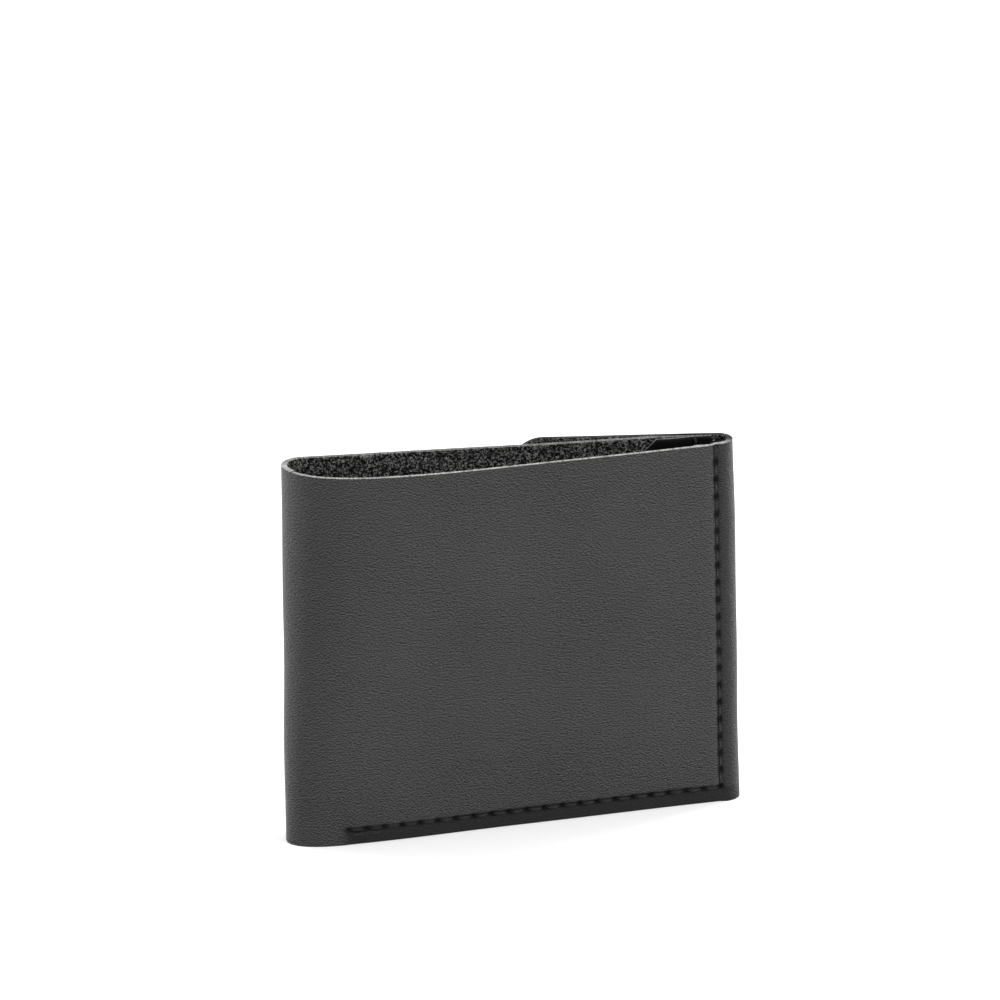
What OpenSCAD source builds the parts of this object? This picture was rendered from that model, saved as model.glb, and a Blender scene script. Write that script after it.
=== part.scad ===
// Bifold wallet, closed and standing on its bottom edge.
// One strip of leather runs from the back half, round the spine, along the front half
// and round the right fold into a flap that closes over the back. A card pocket is
// sewn inside each half with an L-shaped seam along its side and bottom.
// The front half lies along X with its outer face towards -Y. Millimetres, +Z up.

/* [Overall] */
// Height of the wallet, from its bottom edge to its top edge
wallet_h = 90; // [72:1:110]
// Width of the closed wallet, from the spine to the right fold
wallet_w = 107; // [88:1:130]

/* [Leather] */
// Thickness of the cover's leather
cover_t = 1.4; // [1:0.1:1.8]
// Thickness of the pockets' leather
pocket_t = 1.1; // [0.8:0.1:1.4]
// Free space between the two pockets at the open side
edge_gap = 1.4; // [1:0.1:5]

/* [Spine] */
// Outer radius of the tight fold at the spine
spine_r = 6; // [4.5:0.5:8]
// Outer radius of the slow curve that leads from the front into the spine
bow_r = 32; // [26:1:40]
// Angle that the slow curve turns through
bow_deg = 50; // [42:1:56]
// How far round the slow curve the front half flexes
flex_deg = 32; // [28:1:38]

/* [Back half] */
// How far the back half stops short of the right fold's outside
back_inset = 5; // [4.5:0.5:8]
// Corner radius at the back half's free edge
back_corner_r = 3; // [1:0.5:6]

/* [Closing flap] */
// Reach of the closing flap from the right fold, over the back
flap_len = 49; // [30:1:70]
// Corner radius at the flap's free end
flap_corner_r = 6; // [2:0.5:12]
// Angle at which the flap stands off the back half
flap_splay = 4.7; // [3:0.1:7]
// Gap between the flap and the back half's free edge
flap_gap = 0.4; // [0.3:0.1:1]

/* [Card pockets] */
// Height of the pockets' long low edge
pocket_low_h = 62; // [45:1:68]
// Width of the full-height part of the back pocket
back_high_w = 13; // [8:1:20]
// Width of the full-height part of the front pocket
front_high_w = 7; // [6.5:0.5:12]
// Width of the sewn margin that lies on the cover
pocket_margin = 6; // [5:0.5:8]
// Slack between a pocket and its cover inside the sewn margin
pocket_slack = 0.6; // [0.3:0.1:0.7]
// How far round the slow curve the front pocket reaches
pocket_bow_deg = 27; // [20:1:27]
// Distance from the back fold to the back pocket's spine end
back_pocket_start = 12; // [6:1:20]

/* [Seams] */
// Distance from the side edge to the side seam
seam_inset = 4; // [3.5:0.1:4.5]
// Height of the bottom seam
seam_z = 3.8; // [3:0.1:4.5]
// Length of one stitch
stitch_pitch = 4.25; // [3:0.05:6]
// Diameter of the thread
thread_d = 0.8; // [0.6:0.05:1]
// How far the thread stands proud of the leather
thread_proud = 0.3; // [0.2:0.05:0.4]

/* [Hidden] */
$fn = 96;

// Slow curve: bow_x is where it leaves the flat front
bow_x = spine_r + (bow_r - spine_r) * sin(bow_deg);
// Tight fold at the spine
spine_c = [spine_r, bow_r * (1 - cos(bow_deg)) + spine_r * cos(bow_deg)];
bow_c = [bow_x, bow_r];

// Outer corner of the back half's free edge, and the slope from the tight fold to it
edge_thick = 2 * cover_t + 2 * pocket_t + edge_gap;
back_edge = [wallet_w - back_inset, edge_thick];
edge_way = back_edge - spine_c;
back_deg = 90 - atan2(edge_way[1], edge_way[0]) - acos(spine_r / norm(edge_way));
back_start = spine_c + spine_r * [sin(back_deg), cos(back_deg)];
back_len = norm(back_edge - back_start);

// Right fold: as large as passes the back half's free edge with flap_gap
flap_deg = back_deg + flap_splay;
fold_r = (cover_t + flap_gap - back_inset * sin(flap_deg) + edge_thick * cos(flap_deg))
    / (1 + cos(flap_deg) - sin(flap_deg));
fold_c = [wallet_w - fold_r, fold_r];
flap_start = fold_c + fold_r * [sin(flap_deg), cos(flap_deg)];
flap_flat = flap_len - fold_r;

// Lines where the strip flexes: each lies on the outside of its curve
spine_turn = 180 + back_deg;
spine_mid = (bow_deg + spine_turn) / 2;
fold_turn = 180 - flap_deg;
flex_front = [bow_x - bow_r * sin(flex_deg), bow_r * (1 - cos(flex_deg))];
flex_spine = spine_c - spine_r * [sin(spine_mid), cos(spine_mid)];
flex_flap = fold_c + fold_r * [sin(fold_turn / 2), -cos(fold_turn / 2)];
// Radius of the crease worn along each line, and the parting between the pieces there
crease_r = 0.3;
parting = 0.1;
// Turn of one facet of a curved stretch
facet_deg = 3;

// Card pockets
front_pocket_end = wallet_w - seam_inset + 1.4;
// How far it reaches round the inside of the right fold, as a turn
pocket_end_deg = asin((front_pocket_end - fold_c[0]) / (fold_r - cover_t));
// How far the raised part laps over the sewn margin
pocket_lap = 0.5;
// Turn by which the raised part stops short of the sewn margin's spine end
loose_short_deg = 1;

// Seams, measured from their corner
front_seam_x = wallet_w - seam_inset;
front_run = front_seam_x - bow_x + bow_r * PI * (pocket_bow_deg - 1) / 180;
back_seam_u = back_len - seam_inset;
back_run = back_seam_u - back_pocket_start - 1;
// Share of a stitch's length that shows between its two holes
stitch_shows = 0.8;

// The row's origin is at the middle of the box's bottom
depth = spine_c[1] + spine_r;
shift = [-wallet_w / 2, -(depth - thread_proud) / 2, 0];

black = [0.075, 0.072, 0.07];
flesh = [0.16, 0.15, 0.145];
thread_black = [0.03, 0.03, 0.032];

// Angles from start to end, one facet apart, with any short facet last
function sweep(start, end) = concat(
    [for (a = [start : facet_deg : end - 0.01]) a], [end]);

// Arc of radius r about c, clockwise from -Y, and the same arc the other way round
function arc(c, r, start, end) = [for (a = sweep(start, end)) c - r * [sin(a), cos(a)]];
function turned_arc(c, r, start, end) =
    [for (a = sweep(start, end)) c + r * [sin(a), -cos(a)]];

function reversed(list) = [for (i = [len(list) - 1 : -1 : 0]) list[i]];
function tail(list) = [for (i = [1 : len(list) - 1]) list[i]];

// Angle that half the parting takes up at a radius
function part_deg(r) = parting / r * 90 / PI;

// Routes of the strip's stretches, seen from above, in deep from its outer face
function front_route(in) = concat(
    reversed(arc(bow_c, bow_r - in, 0, flex_deg - part_deg(bow_r))),
    turned_arc(fold_c, fold_r - in, 0, fold_turn / 2 - part_deg(fold_r)));
function spine_route(in) = concat(
    arc(bow_c, bow_r - in, flex_deg + part_deg(bow_r), bow_deg),
    tail(arc(spine_c, spine_r - in, bow_deg, spine_mid - part_deg(spine_r))));
function back_route(in) = concat(
    arc(spine_c, spine_r - in, spine_mid + part_deg(spine_r), spine_turn),
    [back_edge - in * [sin(back_deg), cos(back_deg)]]);
function flap_route(in) = concat(
    turned_arc(fold_c, fold_r - in, fold_turn / 2 + part_deg(fold_r), fold_turn),
    [flap_start - flap_flat * [cos(flap_deg), -sin(flap_deg)]
        - in * [sin(flap_deg), cos(flap_deg)]]);

// Upright sheet between two routes
module sheet(outer, inner, h) {
    linear_extrude(h) polygon(concat(outer, reversed(inner)));
}

// Upright plate in the plane of X and Z, t thick towards +Y
module plate(t) {
    translate([0, t, 0]) rotate([90, 0, 0]) linear_extrude(t) children();
}

// Rectangle w by h with its two corners at x = w rounded
module tab(w, h, r) {
    square([w - r, h]);
    translate([0, r]) square([w, h - 2 * r]);
    for (z = [r, h - r]) translate([w - r, z]) circle(r);
}

// Puts its children in the back half's own frame: X along it, +Y out of the wallet
module on_back() {
    translate([back_start[0], back_start[1], 0]) rotate([0, 0, -back_deg]) children();
}

// Puts its children in the flap's own frame: X towards its free end, -Y out of the wallet
module on_flap() {
    translate([flap_start[0], flap_start[1], 0]) rotate([0, 0, 180 - flap_deg]) children();
}

// Removes a worn crease of radius crease_r along a flex line
module creased(line) {
    difference() {
        children();
        translate([line[0], line[1], -1]) cylinder(r = crease_r, h = wallet_h + 2);
    }
}

module front_cover() {
    color(black) translate(shift) creased(flex_front) creased(flex_flap)
        sheet(front_route(0), front_route(cover_t), wallet_h);
}

module spine_fold() {
    color(black) translate(shift) creased(flex_front) creased(flex_spine)
        sheet(spine_route(0), spine_route(cover_t), wallet_h);
}

module back_cover() {
    color(black) translate(shift) creased(flex_spine) intersection() {
        sheet(back_route(0), back_route(cover_t), wallet_h);
        on_back() translate([-2 * spine_r, -4 * spine_r, 0]) plate(6 * spine_r)
            tab(back_len + 2 * spine_r, wallet_h, back_corner_r);
    }
}

module closing_flap() {
    color(black) translate(shift) creased(flex_flap) intersection() {
        sheet(flap_route(0), flap_route(cover_t), wallet_h);
        on_flap() translate([-2 * fold_r, -fold_r, 0]) plate(4 * fold_r)
            tab(flap_flat + 2 * fold_r, wallet_h, flap_corner_r);
    }
}

// Outline of a pocket: X runs from its side edge to its spine end. The top edge is
// full height for high_w, drops at 45 degrees, and runs on low
module pocket_outline(w, high_w) {
    drop = wallet_h - pocket_low_h;
    polygon([
        [0, 0], [w, 0], [w, pocket_low_h],
        [high_w + drop, pocket_low_h], [high_w, wallet_h], [0, wallet_h]
    ]);
}

// Flat pocket, sewn face on y = 0: the margin lies on the cover, the rest stands off it
module pocket(w, high_w) {
    plate(pocket_t) intersection() {
        pocket_outline(w, high_w);
        union() {
            square([w, pocket_margin]);
            square([pocket_margin, wallet_h]);
        }
    }
    translate([0, pocket_slack, 0]) plate(pocket_t) intersection() {
        pocket_outline(w, high_w);
        translate([1, 1] * (pocket_margin - pocket_lap)) square([w, wallet_h]);
    }
}

// Routes of the front pocket's faces, in deep from the cover's inner face and ending
// at the turn end_deg of the slow curve
function pocket_route(in, end_deg) = concat(
    reversed(arc(bow_c, bow_r - cover_t - in, 0, end_deg)),
    [[front_pocket_end, cover_t + in]]);

module front_pocket() {
    reach = front_pocket_end - bow_x + bow_r * sin(pocket_bow_deg);
    loose_deg = pocket_bow_deg - loose_short_deg;
    sewn_face = concat(
        reversed(arc(bow_c, bow_r - cover_t, 0, pocket_bow_deg)),
        turned_arc(fold_c, fold_r - cover_t, 0, pocket_end_deg));
    color(flesh) translate(shift) {
        intersection() {
            sheet(sewn_face, pocket_route(pocket_t, pocket_bow_deg), wallet_h);
            pocket_prism() intersection() {
                pocket_outline(reach, front_high_w);
                union() {
                    square([reach, pocket_margin]);
                    square([pocket_margin, wallet_h]);
                }
            }
        }
        intersection() {
            sheet(pocket_route(pocket_slack, loose_deg),
                pocket_route(pocket_slack + pocket_t, loose_deg), wallet_h);
            pocket_prism() intersection() {
                pocket_outline(reach, front_high_w);
                translate([1, 1] * (pocket_margin - pocket_lap)) square([reach, wallet_h]);
            }
        }
    }
}

// Prism through the front half over an outline whose X runs from the pocket's side edge
module pocket_prism() {
    translate([front_pocket_end, -1, 0]) mirror([1, 0, 0]) plate(bow_r) children();
}

module back_pocket() {
    color(flesh) translate(shift) on_back() translate([back_len, -cover_t, 0])
        rotate([0, 0, 180]) pocket(back_len - back_pocket_start, back_high_w);
}

// One stitch along Z, centred on the origin
module stitch(pitch) {
    cylinder(d = thread_d, h = pitch * stitch_shows, center = true, $fn = 24);
}

// Column of stitches from the bottom seam to the top edge
module stitch_column() {
    count = round((wallet_h - seam_z) / stitch_pitch);
    pitch = (wallet_h - seam_z) / count;
    for (i = [0 : count - 1]) translate([0, 0, seam_z + (i + 0.5) * pitch]) stitch(pitch);
}

// Distances of a bottom run's stitches from the seam's corner
function run_count(run) = round(run / stitch_pitch);
function run_steps(run) = [
    for (i = [0 : run_count(run) - 1]) (i + 0.5) * run / run_count(run)
];

// L seam of the front half, its thread in deep from the outer face
module front_seam(in) {
    translate([front_seam_x, in, 0]) stitch_column();
    pitch = front_run / run_count(front_run);
    for (s = run_steps(front_run)) {
        past_flat = s - (front_seam_x - bow_x);
        turn = max(0, past_flat) / bow_r * 180 / PI;
        translate([past_flat > 0 ? bow_x : front_seam_x - s, bow_r, seam_z])
            rotate([0, 0, -turn]) translate([0, in - bow_r, 0])
                rotate([0, 90, 0]) stitch(pitch * (bow_r - in) / bow_r);
    }
}

// L seam of the back half, in the same way
module back_seam(in) {
    on_back() {
        translate([back_seam_u, -in, 0]) stitch_column();
        for (s = run_steps(back_run)) translate([back_seam_u - s, -in, seam_z])
            rotate([0, 90, 0]) stitch(back_run / run_count(back_run));
    }
}

outer_thread = thread_d / 2 - thread_proud;
inner_thread = cover_t + pocket_t - outer_thread;

module front_needle_thread() {
    color(thread_black) translate(shift) front_seam(outer_thread);
}

module front_bobbin_thread() {
    color(thread_black) translate(shift) front_seam(inner_thread);
}

module back_needle_thread() {
    color(thread_black) translate(shift) back_seam(outer_thread);
}

module back_bobbin_thread() {
    color(thread_black) translate(shift) back_seam(inner_thread);
}

front_cover();
spine_fold();
back_cover();
closing_flap();
front_pocket();
back_pocket();
front_needle_thread();
front_bobbin_thread();
back_needle_thread();
back_bobbin_thread();
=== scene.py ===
from math import asin, cos, exp, pi, radians, sin, sqrt

import bmesh
import bpy
import numpy as np
from mathutils import Matrix, Vector


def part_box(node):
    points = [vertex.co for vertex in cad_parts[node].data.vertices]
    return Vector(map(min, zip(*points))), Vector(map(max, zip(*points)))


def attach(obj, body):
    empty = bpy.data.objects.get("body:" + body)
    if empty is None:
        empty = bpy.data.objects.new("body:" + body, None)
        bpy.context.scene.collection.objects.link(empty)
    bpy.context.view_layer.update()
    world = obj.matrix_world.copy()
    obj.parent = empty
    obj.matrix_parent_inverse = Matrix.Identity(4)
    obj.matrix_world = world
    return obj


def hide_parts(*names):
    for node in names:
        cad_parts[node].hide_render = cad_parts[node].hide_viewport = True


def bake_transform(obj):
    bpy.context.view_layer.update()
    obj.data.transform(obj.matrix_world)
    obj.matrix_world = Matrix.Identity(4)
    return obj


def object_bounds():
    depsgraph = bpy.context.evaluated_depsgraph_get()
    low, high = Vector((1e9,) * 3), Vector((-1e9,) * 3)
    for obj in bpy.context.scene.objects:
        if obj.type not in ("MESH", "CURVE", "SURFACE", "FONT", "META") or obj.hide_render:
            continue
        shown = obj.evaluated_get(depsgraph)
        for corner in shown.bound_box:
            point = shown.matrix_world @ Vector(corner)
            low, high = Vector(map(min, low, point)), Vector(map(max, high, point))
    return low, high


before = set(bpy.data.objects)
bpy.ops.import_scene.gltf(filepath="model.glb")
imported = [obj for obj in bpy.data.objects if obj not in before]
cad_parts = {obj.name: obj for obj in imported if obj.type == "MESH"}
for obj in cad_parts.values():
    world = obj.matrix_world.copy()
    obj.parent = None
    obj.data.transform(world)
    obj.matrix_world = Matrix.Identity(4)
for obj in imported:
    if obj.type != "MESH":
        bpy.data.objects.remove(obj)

cad_lo, cad_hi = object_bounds()

# ---- Camera
# A long lens to the left of the front half and well above it, leaning slightly.
camera_azimuth = radians(-13.93)
camera_elevation = radians(20.84)
camera_roll = radians(-1.36)
camera_distance = 2.6
camera_lens = 399.2
# Where the lens points, to the right of and above the middle of the wallet
aim_aside = -0.00104
aim_up = 0.03084

back_way = Vector((sin(camera_azimuth) * cos(camera_elevation),
                   -cos(camera_azimuth) * cos(camera_elevation), sin(camera_elevation)))
turn = back_way.to_track_quat("Z", "Y")
aim = (cad_lo + cad_hi) / 2 + turn @ Vector((aim_aside, aim_up, 0))
camera_data = bpy.data.cameras.new("camera")
camera_data.lens = camera_lens
camera_data.sensor_width = 36
camera_data.clip_end = 20
camera = bpy.data.objects.new("camera", camera_data)
camera.matrix_world = (Matrix.Translation(aim + back_way * camera_distance)
                       @ turn.to_matrix().to_4x4() @ Matrix.Rotation(camera_roll, 4, "Z"))
bpy.context.scene.collection.objects.link(camera)
bpy.context.scene.camera = camera
bpy.context.scene.view_settings.view_transform = "Standard"

# ---- Light
# A dim white surround, a soft panel in front on the right, a broad one overhead, and a
# low panel behind on each side that lights the two folds.
surround_strength = 0.34
world = bpy.data.worlds.new("surround")
world.use_nodes = True
world.node_tree.nodes["Background"].inputs["Color"].default_value = (1, 1, 1, 1)
world.node_tree.nodes["Background"].inputs["Strength"].default_value = surround_strength
bpy.context.scene.world = world


def soft_panel(name, place, size, watts):
    light = bpy.data.lights.new(name, "AREA")
    light.size = size
    light.energy = watts
    panel = bpy.data.objects.new(name, light)
    panel.location = place
    panel.rotation_euler = (Vector(place) - aim).to_track_quat("Z", "Y").to_euler()
    bpy.context.scene.collection.objects.link(panel)


soft_panel("front_panel", (0.85, -0.75, 0.95), 0.6, 11.5)
soft_panel("left_rim_panel", (-0.8, 0.65, 0.25), 0.35, 5)
soft_panel("right_rim_panel", (1.0, 0.4, 0.25), 0.35, 9)
soft_panel("top_panel", (0.0, 0.4, 1.5), 2.0, 22)

# ---- How the cut strip folds up
# The cover is one flat strip of leather, measured here from its back half's free edge.
# Its turn dies away evenly from the spine along the front, the spine is rounder below
# than above, and its far end turns round the right fold.
height = cad_hi.z
width = cad_hi.x - cad_lo.x
outer_corner = Vector((cad_lo.x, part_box("front_cover")[0].y, 0))
cover_thick = 0.0014
edge_thick = 0.0079
fold_round = 0.00394
flap_slope = radians(14)
flap_reach = 0.0483
fade_low, fade_high = 0.0050, 0.0123
spine_round_low, spine_round_high = 0.0079, 0.0049
# A quarter turn that dies away over a length of 1 goes this far across, and loses this
# much of the length along.
fade_across = 1.3708
fade_lost = 0.5568
first_back_slope = radians(9)
slope_rounds = 20

front_flat = width - fold_round + fade_lost * (fade_low + fade_high) / 2
at_spine = 0.1047
at_fold = at_spine + front_flat
fold_turn = pi - flap_slope
fold_len = fold_turn * fold_round
strip_len = at_fold + fold_len + flap_reach
step = 0.00025
levels = 25


def route(z):
    """Outer face's points and outward ways at one height, a step apart along the strip."""
    share = z / height
    fade = fade_low + (fade_high - fade_low) * share
    spine_round = spine_round_low + (spine_round_high - spine_round_low) * share
    along = np.arange(0, strip_len + step * 1.5, step)
    past = along - at_spine
    bend = np.where(past >= 0, pi / 2 * np.exp(-np.maximum(past, 0) / fade),
                    pi / 2 - past / spine_round)
    back_slope = first_back_slope
    for _ in range(slope_rounds):
        straight = at_spine - spine_round * (pi / 2 + back_slope)
        rise = fade_across * fade + spine_round * cos(back_slope) - edge_thick
        back_slope = asin(rise / straight)
    bend = np.minimum(bend, pi + back_slope)
    heading = np.where(along > at_fold, np.minimum((along - at_fold) / fold_round, fold_turn),
                       -bend)
    between = heading[:-1] + np.diff(heading) / 2
    x = np.concatenate([[0], np.cumsum(np.cos(between) * step)])
    y = np.concatenate([[0], np.cumsum(np.sin(between) * step)])
    anchor = int(round(at_fold / step))
    return np.stack([x - x[anchor] + width - fold_round, y - y[anchor],
                     np.sin(heading), -np.cos(heading)], axis=1)


routes = np.stack([route(z) for z in np.linspace(0, height, levels)])


def fold_up(along, deep, z):
    """Where a point of the flat strip lies, deep from its outer face, once it is folded."""
    level = min(max(z / height, 0), 1) * (levels - 1)
    row = min(int(level), levels - 2)
    spot = min(max(along, 0), strip_len) / step
    column = min(int(spot), routes.shape[1] - 2)
    up, on = level - row, spot - column
    near = routes[row, column] * (1 - on) + routes[row, column + 1] * on
    far = routes[row + 1, column] * (1 - on) + routes[row + 1, column + 1] * on
    x, y, out_x, out_y = near * (1 - up) + far * up
    spare = max(along - strip_len, 0) + min(along, 0)
    size = sqrt(out_x * out_x + out_y * out_y)
    out_x, out_y = out_x / size, out_y / size
    return outer_corner + Vector((x - out_y * spare - out_x * deep,
                                  y + out_x * spare - out_y * deep, z))


# ---- Seams
# Each half has an L seam, up the side edge and along the bottom, lockstitched with waxed
# black thread and sewn back over its last stitches. The thread pulls the leather into a
# channel with a dimple at each hole, and the leather puffs up inside the seam.
seam_low = 0.0038
stitch_len = 0.00425
front_seam = at_fold - 0.0013
front_seam_end = at_spine + 0.0162
back_seam = 0.004
back_seam_end = at_spine - 0.0215
channel_deep, channel_wide = 0.0003, 0.0006
hole_deep, hole_wide = 0.0006, 0.00065
hole_reach = 0.002
puff_high, puff_wide = 0.0004, 0.0025
pulled_in = 0.0003
seam_end_soft = 0.0006
corner_soft = 0.0015
channel_foot = 0.001
side_limit, end_limit = 0.003, 0.004


def stitch_holes(side, end):
    """Holes of an L seam, from the top edge down its side and along to its spine end."""
    column = round((height - seam_low) / stitch_len)
    run = round(abs(end - side) / stitch_len)
    down = [(side, height - (height - seam_low) * i / column) for i in range(1, column + 1)]
    return down + [(side + (end - side) * i / run, seam_low) for i in range(1, run + 1)]


seams = {"front": (front_seam, front_seam_end, stitch_holes(front_seam, front_seam_end)),
         "back": (back_seam, back_seam_end, stitch_holes(back_seam, back_seam_end))}


def seam_relief(along, z):
    """How far a seam's pull sinks the outer face, less the puff of the leather inside it."""
    sunk = 0
    for side, end, holes in seams.values():
        inward = 1 if end > side else -1
        from_side = (along - side) * inward
        from_end = (end - along) * inward
        if from_side < -side_limit or from_end < -end_limit:
            continue
        to_side = abs(from_side)
        to_low = abs(z - seam_low)
        sewn = 1 / (1 + exp(-min(max(from_end / seam_end_soft, -30), 30)))
        low_run = sewn * (1 - min(max(-from_side / corner_soft, 0), 1))
        side_run = min(max(1 - (seam_low - z) / channel_foot, 0), 1)
        sunk += channel_deep * exp(-(to_side / channel_wide) ** 2) * side_run
        sunk += channel_deep * exp(-(to_low / channel_wide) ** 2) * low_run
        if z < seam_low:
            sunk += pulled_in * (1 - z / seam_low) * low_run
        inside = min(from_side, z - seam_low)
        if inside > 0:
            sunk -= puff_high * (inside / puff_wide) * exp(1 - inside / puff_wide) * sewn
        if min(to_side, to_low) < hole_reach:
            for hole_along, hole_z in holes:
                gap = (along - hole_along) ** 2 + (z - hole_z) ** 2
                if gap < hole_reach ** 2:
                    sunk += hole_deep * exp(-gap / hole_wide ** 2)
    return sunk


# Slow unevenness of the leather: turns along and up the strip, start, and share of height
slack_high = 0.00016
slack_waves = ((61, 23, 0, 1), (143, -97, 1.3, 0.5), (37, 171, 0, 0.4))


def slack(along, z):
    return slack_high * sum(sin(along * on + z * up + start) * share
                            for on, up, start, share in slack_waves)


# ---- Leather finishes
# Black drum-dyed leather: fine pebbled grain outside, smooth grain on the pockets' inner
# faces, rough flesh on the other side, and raw cut edges in the pale undyed core.
class Wire:
    """A shader socket, so that a finish reads as a plain sum."""

    def __init__(self, tree, socket):
        self.tree = tree
        self.socket = socket

    def node(self, kind, settings, inputs, out=0):
        made = self.tree.nodes.new("ShaderNode" + kind)
        for key, value in settings.items():
            setattr(made, key, value)
        for key, value in inputs.items():
            if isinstance(value, Wire):
                self.tree.links.new(value.socket, made.inputs[key])
            else:
                made.inputs[key].default_value = value
        return Wire(self.tree, made.outputs[out])

    def maths(self, operation, first, second):
        return self.node("Math", {"operation": operation}, {0: first, 1: second})

    def __add__(self, other):
        return self.maths("ADD", self, other)

    def __sub__(self, other):
        return self.maths("SUBTRACT", self, other)

    def __mul__(self, other):
        return self.maths("MULTIPLY", self, other)

    def __rsub__(self, other):
        return self.maths("SUBTRACT", other, self)

    __radd__ = __add__
    __rmul__ = __mul__

    def larger(self, other):
        return self.maths("MAXIMUM", self, other)

    def size(self):
        return self.node("Math", {"operation": "ABSOLUTE"}, {0: self})

    def wave(self):
        return self.node("Math", {"operation": "COSINE"}, {0: self})

    def eased(self, low, high, to_low=0.0, to_high=1.0):
        return self.node("MapRange", {"interpolation_type": "SMOOTHSTEP"},
                         {0: self, 1: low, 2: high, 3: to_low, 4: to_high})

    def noise(self, scale, detail, rough=0.5, warp=0.0):
        return self.node("TexNoise", {}, {"Vector": self, "Scale": scale, "Detail": detail,
                                          "Roughness": rough, "Distortion": warp})

    def cells(self, scale):
        return self.node("TexVoronoi", {}, {"Vector": self, "Scale": scale})

    def part(self, index):
        return self.node("SeparateXYZ", {}, {0: self}, index)

    def moved(self, along, up):
        return self.node("Mapping", {}, {"Vector": self, "Location": (along, up, 0)})

    def stretched(self, along, up):
        return self.node("Mapping", {}, {"Vector": self, "Scale": (along, up, 1)})

    def tint(self, low, high):
        return self.node("Mix", {"data_type": "RGBA"}, {0: self, 6: (*low, 1), 7: (*high, 1)}, 2)


class Finish:
    """A material, and where its pattern lies: on the flat-cut leather or on the object."""

    def __init__(self, name, on_flat):
        self.material = bpy.data.materials.new(name)
        self.material.use_nodes = True
        tree = self.material.node_tree
        self.shader = tree.nodes["Principled BSDF"]
        start = Wire(tree, None)
        if on_flat:
            self.place = start.node("UVMap", {"uv_map": "flat"}, {})
        else:
            self.place = start.node("TexCoord", {}, {}, 3)

    def set(self, **values):
        for key, value in values.items():
            socket = self.shader.inputs[key.replace("_", " ").title().replace("Ior", "IOR")]
            if isinstance(value, Wire):
                value.tree.links.new(value.socket, socket)
            else:
                socket.default_value = value

    def relief(self, height_share, depth, strength=1.0):
        self.set(normal=height_share.node("Bump", {}, {"Strength": strength, "Distance": depth,
                                                       "Height": height_share}))


# The grain's colour carries painted shade: darker on the lower side of each crease, as if
# lit from above, along the seam channels and round the holes, and on the band between the
# front seam and the edge, where the leather turns away from the light.
crease_stretch = (0.85, 1)
crease_scale = 2600
crease_shade_shift = 0.00016
seam_shade_wide, hole_shade_extra = 0.0007, 0.00035
side_stitch = (height - seam_low) / round((height - seam_low) / stitch_len)
low_stitch = (front_seam - front_seam_end) / round((front_seam - front_seam_end) / stitch_len)

grain = Finish("black_grain", True)
creases = grain.place.stretched(*crease_stretch).noise(crease_scale, 2, 0.6, 0.4)
# A copy of the creases shifted up, whose difference from them paints the crease shade.
shade_shifted_creases = (grain.place.moved(0, crease_shade_shift).stretched(*crease_stretch)
                 .noise(crease_scale, 2, 0.6, 0.4))
pebbles = grain.place.stretched(0.7, 1).cells(1400)
mottle = grain.place.noise(26, 2)
wrinkles = grain.place.stretched(0.3, 1).noise(330, 3, 0.55, 0.8)
across = grain.place.part(0)
up = grain.place.part(1)
past_side = across.eased(front_seam - 0.0002, front_seam + 0.0006)
past_end = across.eased(front_seam_end - 0.0025, front_seam_end + 0.001)
# Painted shade on the band outside the front seam, along the side to the fold and below the bottom
# seam, where the leather turns away from the light; the band is also a little rougher.
low_shade_band = up.eased(seam_low + 0.0006, seam_low - 0.0004) * past_end
painted_shade_band = ((past_side * 0.55).larger(low_shade_band * 0.85)
                * across.eased(at_fold + 0.009, at_fold + 0.003))
# Painted shade in the seam channels, wider round each stitch hole; these lines are also rougher.
side_holes = ((up - seam_low) * (2 * pi / side_stitch)).wave() * hole_shade_extra
side_line = ((across - front_seam).size() - side_holes).eased(seam_shade_wide, 0.0001)
side_span = up.eased(seam_low - 0.001, seam_low)
low_holes = ((front_seam - across) * (2 * pi / low_stitch)).wave() * hole_shade_extra
low_line = ((up - seam_low).size() - low_holes).eased(seam_shade_wide, 0.0001)
low_span = past_end * across.eased(front_seam + 0.0009, front_seam + 0.0003)
seam_shade = (side_line * side_span).larger(low_line * low_span)
# Random mottle plus painted shade on the lower side of each crease, as if lit from above.
mottle_and_crease_shade = (mottle - 0.5) * 0.4 + (creases - shade_shifted_creases) * 4.5
grain.set(base_color=(mottle_and_crease_shade.eased(-0.35, 0.35) * (1 - painted_shade_band) * (1 - seam_shade)).tint(
              (0.002, 0.002, 0.002), (0.073, 0.0725, 0.0715)),
          roughness=mottle * 0.06 + pebbles * 0.06 + 0.33 + painted_shade_band * 0.12 + seam_shade * 0.3,
          specular_ior_level=0.26)
grain.relief(creases + pebbles * 0.35 + wrinkles * 0.45, 0.0004)

# The pockets' inner grain is painted far darker than the same leather outside: black leather plus
# painted shade for the inside of the pockets.
lining = Finish("black_inner_grain_painted_shade", True)
lining_pebbles = lining.place.cells(1300)
lining_clouds = lining.place.noise(120, 4)
lining.set(base_color=lining_clouds.tint((0.0015, 0.0015, 0.0015), (0.004, 0.004, 0.004)),
           roughness=lining_clouds * 0.12 + 0.6, specular_ior_level=0.12)
lining.relief(lining_pebbles * 0.7 + lining_clouds * 0.5, 0.00006, 0.8)

flesh = Finish("black_flesh_side", True)
nap = flesh.place.noise(1900, 3, 0.6, 0.6)
clumps = flesh.place.noise(800, 3, 0.6, 1.0)
fibres = flesh.place.stretched(1, 0.5).noise(3400, 2, 0.7, 1.0)
raised = (nap * 0.55 + clumps * 0.25 + fibres * 0.2).eased(0.48, 0.6)
flesh.set(base_color=raised.tint((0.002, 0.002, 0.002), (0.42, 0.414, 0.406)),
          roughness=0.95, specular_ior_level=0.2)
flesh.relief(nap * 0.8 + clumps * 1.2 + fibres * 0.3, 0.0012)

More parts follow.
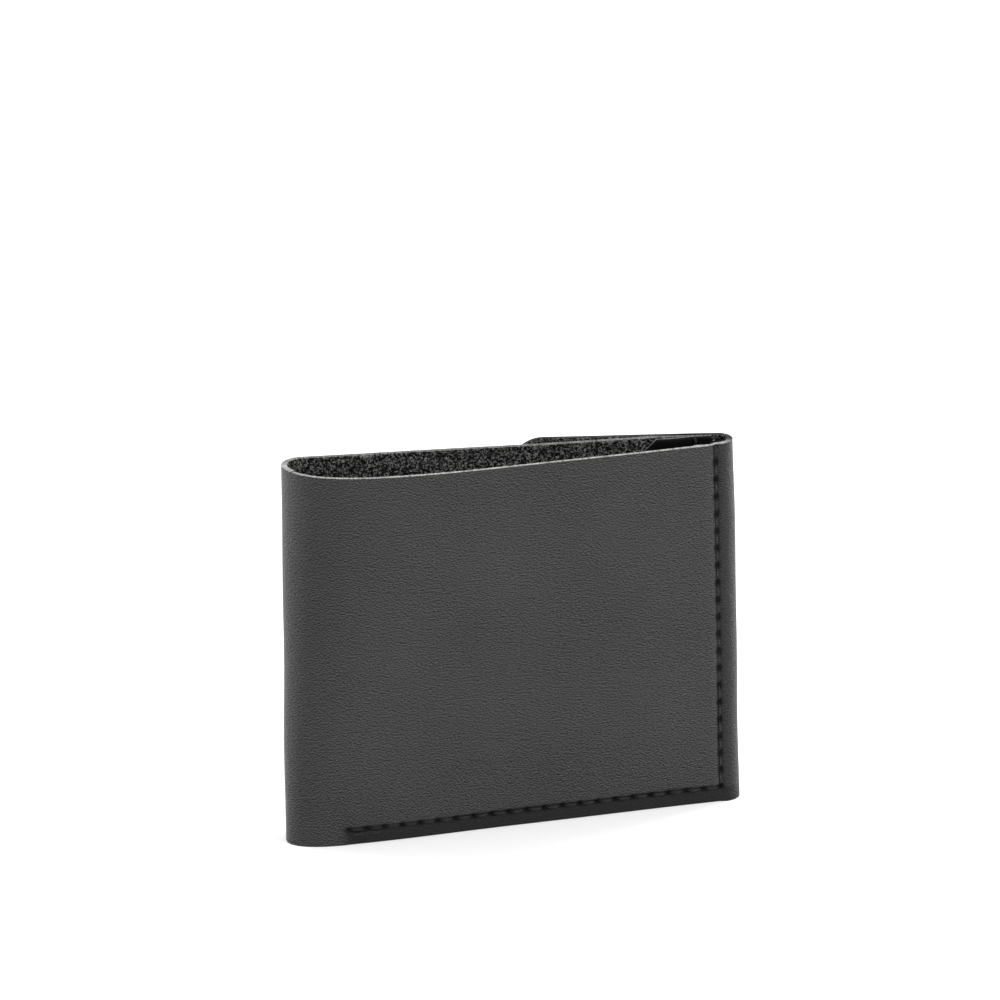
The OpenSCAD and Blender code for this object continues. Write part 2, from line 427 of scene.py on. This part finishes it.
# The pale core is bare along the front's edge, half dyed over on the back and black on the flap
raw_edge = Finish("raw_cut_edge", True)
strands = raw_edge.place.noise(1900, 4, 0.7, 0.7)
patches = raw_edge.place.noise(300, 3)
edge_along = raw_edge.place.part(0)
worn = (edge_along.eased(at_spine - 0.012, at_spine + 0.002, 0.4, 1.0)
        * edge_along.eased(at_fold, at_fold + 0.006, 1.0, 0.06))
bare = (strands * 0.65 + patches * 0.35).eased(0.3, 0.6) * worn
raw_edge.set(base_color=bare.tint((0.014, 0.0138, 0.0135), (0.46, 0.455, 0.445)),
             roughness=0.9, specular_ior_level=0.25)
raw_edge.relief(strands, 0.0003, 0.8)


# ---- Back half of the cover
# The strip's first stretch of black leather, flesh side in, from its free edge under the
# flap to the spine. Every leather piece is cut flat, its rims are eased, the inner one
# more than the outer, and it is folded up along the strip.
def crowded(*stretches):
    """Places along an edge, from stretches of (from, to, spacing)."""
    places = [stretches[0][0]]
    for start, end, spacing in stretches:
        count = max(1, round(abs(end - start) / spacing))
        places += [start + (end - start) * i / count for i in range(1, count + 1)]
    return places


outer_side, inner_side, rim_side = 0, 1, 2
inner_rim_share = 0.4
outer_rim_round = 0.00015


def cut_flat(columns, rows, low, high, thick, cut_ends):
    """Flat slab of leather: columns run along it, rows are shares of its height."""
    bm = bmesh.new()
    across, up = len(columns) - 1, len(rows) - 1
    bmesh.ops.create_grid(bm, x_segments=across, y_segments=up, size=0.5)
    for v in bm.verts:
        along = columns[round((v.co.x + 0.5) * across)]
        share = rows[round((v.co.y + 0.5) * up)]
        v.co = (along, 0, low(along) + (high(along) - low(along)) * share)
    made = bmesh.ops.extrude_face_region(bm, geom=bm.faces[:])
    moved = [g for g in made["geom"] if isinstance(g, bmesh.types.BMVert)]
    bmesh.ops.translate(bm, verts=moved, vec=(0, thick, 0))
    bmesh.ops.recalc_face_normals(bm, faces=bm.faces)
    flat_map = bm.loops.layers.uv.new("flat")
    for face in bm.faces:
        face.smooth = True
        broad_side = inner_side if face.normal.y > 0 else outer_side
        face.material_index = rim_side if abs(face.normal.y) < 0.5 else broad_side
        for loop in face.loops:
            loop[flat_map].uv = (loop.vert.co.x, loop.vert.co.z)
    inner_rim, outer_rim = [], []
    for edge in bm.edges:
        sides = {face.material_index for face in edge.link_faces}
        middle = (edge.verts[0].co.x + edge.verts[1].co.x) / 2
        joined = any(abs(middle - end) < 1e-6 for end in cut_ends)
        if len(sides) == 2 and not joined:
            (inner_rim if inner_side in sides else outer_rim).append(edge)
    eased = bmesh.ops.bevel(bm, geom=inner_rim, offset=thick * inner_rim_share, segments=2,
                            profile=0.5, affect="EDGES", material=-1, clamp_overlap=True)
    for face in eased["faces"]:
        face.material_index = inner_side
    bmesh.ops.bevel(bm, geom=[edge for edge in outer_rim if edge.is_valid],
                    offset=outer_rim_round, segments=2, profile=0.5, affect="EDGES",
                    material=-1, clamp_overlap=True)
    return bm


def finish_piece(name, bm, finishes):
    mesh = bpy.data.meshes.new(name)
    bm.to_mesh(mesh)
    bm.free()
    for finish in finishes:
        mesh.materials.append(finish.material)
    piece = bpy.data.objects.new(name, mesh)
    bpy.context.scene.collection.objects.link(piece)
    return piece


cover_finishes = [grain, flesh, raw_edge]
cover_rows = [z / height for z in crowded((0, 0.0018, 0.0009), (0.0018, 0.0062, 0.0004),
                                          (0.0062, height - 0.002, 0.00112),
                                          (height - 0.002, height, 0.0007))]
relief_limit = 0.4
nap_high = 0.00007
nap_along, nap_up, nap_sway = 5100, 4300, 2300


def cover_piece(name, columns, low, high, cut_ends):
    """A stretch of the strip, sunk outside along its seams and rough on its flesh side."""
    bm = cut_flat(columns, cover_rows, low, high, cover_thick, cut_ends)
    for v in bm.verts:
        along, deep, z = v.co
        outer = 1 - deep / cover_thick
        sunk = seam_relief(along, z) * outer if outer > relief_limit else 0
        rough = 0
        if outer < 0.1:
            rough = nap_high * sin(along * nap_along + 3 * sin(z * nap_sway)) * sin(z * nap_up)
        v.co = fold_up(along, deep + sunk + rough - slack(along, z), z)
    return finish_piece(name, bm, cover_finishes)


def corner_rise(along, free_end, radius):
    inside = radius - min(abs(along - free_end), radius)
    return radius - sqrt(radius * radius - inside * inside)


back_corner = 0.003
corner_steps = 8
split_spine = at_spine + 0.0045


def back_high(along):
    return height - corner_rise(along, 0, back_corner)


def back_low(along):
    return corner_rise(along, 0, back_corner)


back_columns = [back_corner * (1 - cos(pi / 2 * i / corner_steps)) for i in range(corner_steps)]
back_columns += crowded((back_corner, 0.006, 0.0004), (0.006, back_seam_end + 0.004, 0.00075),
                        (back_seam_end + 0.004, split_spine, 0.0005))
back_leather = cover_piece("back_leather", back_columns, back_low, back_high, [split_spine])
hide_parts("back_cover")


# ---- Front half of the cover
# The same leather's broad front face, grain outwards, from the spine to the side seam. It
# has no seam at the spine: it is the back half's own leather, bent round.
def whole(along):
    return height


def ground(along):
    return 0.0


front_columns = crowded((split_spine, at_spine + 0.014, 0.0005),
                        (at_spine + 0.014, front_seam - 0.003, 0.00075),
                        (front_seam - 0.003, front_seam, 0.0004))
front_leather = cover_piece("front_leather", front_columns, ground, whole,
                            [split_spine, front_seam])
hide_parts("front_cover", "spine_fold")

# ---- Right fold and closing flap
# The leather's last stretch turns round the right fold and lies over the back half, held
# by nothing but its own stiffness. Its two free corners are rounded.
flap_corner = 0.008
flap_corner_steps = 12


def flap_high(along):
    return height - corner_rise(along, strip_len, flap_corner)


def flap_low(along):
    return corner_rise(along, strip_len, flap_corner)


flap_columns = crowded((front_seam, at_fold + fold_len + 0.001, 0.0004),
                       (at_fold + fold_len + 0.001, strip_len - flap_corner, 0.001))
flap_columns += [strip_len - flap_corner * (1 - sin(pi / 2 * i / flap_corner_steps))
                 for i in range(1, flap_corner_steps + 1)]
flap_leather = cover_piece("flap_leather", flap_columns, flap_low, flap_high, [front_seam])
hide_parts("closing_flap")

# ---- Where the strip's stretches meet
# On the real wallet the three stretches are one leather, so their shading is made one at
# each joint.
cover_stretches = (back_leather, front_leather, flap_leather)


def meeting_points(first, second):
    """Points that two stretches share, each as a list of (piece, point, normal)."""
    places = {}
    for piece in (first, second):
        for v in piece.data.vertices:
            key = tuple(np.round(np.array(v.co), 6))
            places.setdefault(key, []).append((piece, v.index, Vector(v.normal)))
    return [spots for spots in places.values() if len({spot[0].name for spot in spots}) == 2]


shared = meeting_points(back_leather, front_leather) + meeting_points(front_leather, flap_leather)
for piece in cover_stretches:
    normals = [tuple(v.normal) for v in piece.data.vertices]
    for spots in shared:
        mean = sum((spot[2] for spot in spots), Vector()).normalized()
        for owner, index, _ in spots:
            if owner is piece:
                normals[index] = tuple(mean)
    piece.data.normals_split_custom_set_from_vertices(normals)


def square_way(start, end, low, high):
    """Way from start to end, turned square to the leaning joint from low to high."""
    way = Vector(end) - Vector(start)
    lean = Vector(high) - Vector(low)
    way.z = -(way.x * lean.x + way.y * lean.y) / lean.z
    return way


joint_low = fold_up(split_spine, 0, 0)
joint_high = fold_up(split_spine, 0, height)
joint_middle = (joint_low + joint_high) / 2
bow_start = fold_up(front_seam_end, 0, height / 2)
bow_way = square_way(bow_start, joint_middle, joint_low, joint_high)
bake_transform(front_leather)
spine_end = fold_up(at_spine - 0.017, 0, height / 2)
spine_way = square_way(joint_middle, spine_end, joint_low, joint_high)
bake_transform(back_leather)
flap_start = fold_up(at_fold + 0.0005, 0, height / 2)
flap_end = fold_up(at_fold + fold_len, 0, height / 2)
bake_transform(flap_leather)

# ---- Card pockets
# A thinner leather panel sewn inside each half by the L seam, smooth grain to the inside.
# It is high at its side edge, the front one stopping half a millimetre under the rim,
# drops at 45 degrees, and is loose along its low edge.
pocket_thick = 0.0011
pocket_low = 0.062
pocket_lift = 0.0005
pocket_pinch, pocket_pinch_wide = 0.00018, 0.0009
sewn_flat, loose_wide = 0.001, 0.005
pocket_finishes = [flesh, lining, raw_edge]
pocket_rows = [z / height for z in crowded((0, 0.0065, 0.0008), (0.0065, height, 0.0016))]


def pocket(name, side, end, seam, high_part, under_rim):
    """Panel from its sewn side to its end by the spine; under_rim is how far it stops short."""
    inward = 1 if end > side else -1

    def top(along):
        drop = max((along - side) * inward - high_part, 0)
        return max(height - under_rim - drop, pocket_low)

    knee = side + inward * high_part
    foot = knee + inward * (height - pocket_low)
    columns = crowded((side, knee, 0.0006), (knee, foot, 0.0009), (foot, end, 0.001))
    if inward < 0:
        columns.reverse()
    bm = cut_flat(columns, pocket_rows, ground, top, pocket_thick, [])
    for v in bm.verts:
        along, deep, z = v.co
        inside = min((along - seam) * inward, z - seam_low)
        loose = min(max((inside - sewn_flat) / loose_wide, 0), 1)
        lift = pocket_lift * loose * loose * (3 - 2 * loose)
        pinch = pocket_pinch * exp(-(inside / pocket_pinch_wide) ** 2)
        v.co = fold_up(along, cover_thick + deep + lift - pinch - slack(along, z), z)
    return finish_piece(name, bm, pocket_finishes)


front_panel = pocket("front_card_pocket", front_seam + 0.0014, front_seam_end - 0.0014,
                     front_seam, 0.006, 0.0005)
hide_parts("front_pocket")
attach(front_panel, "front")
back_panel = pocket("back_card_pocket", 0.0002, back_seam_end + 0.002, back_seam, 0.013, 0)
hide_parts("back_pocket")
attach(back_panel, "back")

# ---- Sewing thread
# Waxed black thread, two plies twisted, lockstitched through both leathers. Every stitch
# dips into its holes at both ends, a second run beside the last ones locks the seam, and
# one more ties it off over the top edge.
thread_thick = 0.00072
thread_ply_len = 0.0011
stack = cover_thick + pocket_thick
thread = Finish("waxed_black_thread", True)
ply = thread.place.node("TexWave", {"wave_type": "BANDS", "bands_direction": "DIAGONAL"},
                        {"Vector": thread.place, "Scale": 1.0, "Distortion": 0.4})
thread_fuzz_and_glints = thread.place.stretched(600, 3).noise(2.0, 3)
# The lighter specks in the thread's colour are painted glints; the same noise also roughens and
# bumps the thread.
thread.set(base_color=thread_fuzz_and_glints.eased(0.4, 0.7).tint((0.002, 0.002, 0.002),
                                                       (0.02, 0.02, 0.0205)),
           roughness=thread_fuzz_and_glints * 0.2 + 0.2)
thread.relief(ply + thread_fuzz_and_glints * 0.3, 0.0002, 0.9)


def add_thread(bm, flat_map, rings, fullness, taper, length, place):
    """A length of thread: place turns a share of its length and a section point to a spot."""
    made = bmesh.ops.create_uvsphere(bm, u_segments=10, v_segments=rings, radius=0.5)
    spots = {}
    for v in made["verts"]:
        share = asin(min(max(v.co.z * 2, -1), 1)) / pi + 0.5
        angle = np.arctan2(v.co.y, v.co.x)
        ring = min(1, sqrt(v.co.x ** 2 + v.co.y ** 2) * 2 * fullness)
        radius = thread_thick / 2 * ring * (1 - taper + taper * sin(share * pi))
        spots[v] = (share * length / thread_ply_len, angle / pi)
        v.co = place(share, cos(angle) * radius, sin(angle) * radius)
    for face in {face for v in made["verts"] for face in v.link_faces}:
        face.smooth = True
        for loop in face.loops:
            loop[flat_map].uv = spots[loop.vert]


def add_stitch(bm, flat_map, start, end, centre, out_side, dip):
    """One stitch between two holes; centre is its depth under the strip's outer face."""
    length = sqrt((end[0] - start[0]) ** 2 + (end[1] - start[1]) ** 2)
    on, up = (end[0] - start[0]) / length, (end[1] - start[1]) / length

    def place(share, aside, out):
        reach = (share - 0.5) * length * 0.94 + length / 2
        sink = dip * (2 * abs(share - 0.5)) ** 3
        return fold_up(start[0] + on * reach - up * aside, centre + out_side * (sink - out),
                       start[1] + up * reach + on * aside)

    add_thread(bm, flat_map, 9, 1.35, 0.2, length, place)


def add_over_edge(bm, flat_map, seam, hole):
    """The stitch that ties the seam off over the top edge, seen as a bow over the rim."""
    rise = height - hole - 0.0007
    clear = thread_thick * 0.3
    squareness = 0.45

    def place(share, aside, out):
        bend = (share - 0.5) * pi
        half = (stack / 2 + clear + out) * abs(sin(bend)) ** squareness
        deep = stack / 2 + np.sign(bend) * half
        z = hole + (rise + clear + out) * abs(cos(bend)) ** squareness
        return fold_up(seam + aside, deep, z)

    add_thread(bm, flat_map, 17, 1.5, 0, stack + 2 * rise, place)


backtack_drop = 0.0011
for half, (side, end, holes) in seams.items():
    backtack = [(along, z - backtack_drop) for along, z in holes[-1:-4:-1]]
    for kind, centre, out_side, dip in (("needle", -0.00002, 1, 0.0009),
                                        ("bobbin", stack, -1, 0.0008)):
        bm = bmesh.new()
        flat_map = bm.loops.layers.uv.new("flat")
        for start, finish in zip(holes, holes[1:]):
            add_stitch(bm, flat_map, start, finish, centre, out_side, dip)
        for start, finish in zip(backtack, backtack[1:]):
            add_stitch(bm, flat_map, start, finish, centre - out_side * 0.0001, out_side, dip)
        if kind == "needle":
            add_over_edge(bm, flat_map, side, holes[0][1])
        bmesh.ops.recalc_face_normals(bm, faces=bm.faces)
        piece = finish_piece(half + "_" + kind + "_stitches", bm, [thread])
        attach(piece, half)
        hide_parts(half + "_" + kind + "_thread")

# ---- Floor
# Plain pale matt table that the wallet stands on. It gives a little light of its own, so
# that it stays near white all round.
bm = bmesh.new()
bmesh.ops.create_grid(bm, x_segments=1, y_segments=1, size=6)
floor_mesh = bpy.data.meshes.new("floor")
bm.to_mesh(floor_mesh)
bm.free()
floor = bpy.data.objects.new("floor", floor_mesh)
floor_finish = Finish("pale_floor", False)
floor_finish.set(base_color=(0.9, 0.9, 0.9, 1), roughness=0.8,
                 emission_color=(1, 1, 1, 1), emission_strength=0.25)
floor_mesh.materials.append(floor_finish.material)
bpy.context.scene.collection.objects.link(floor)
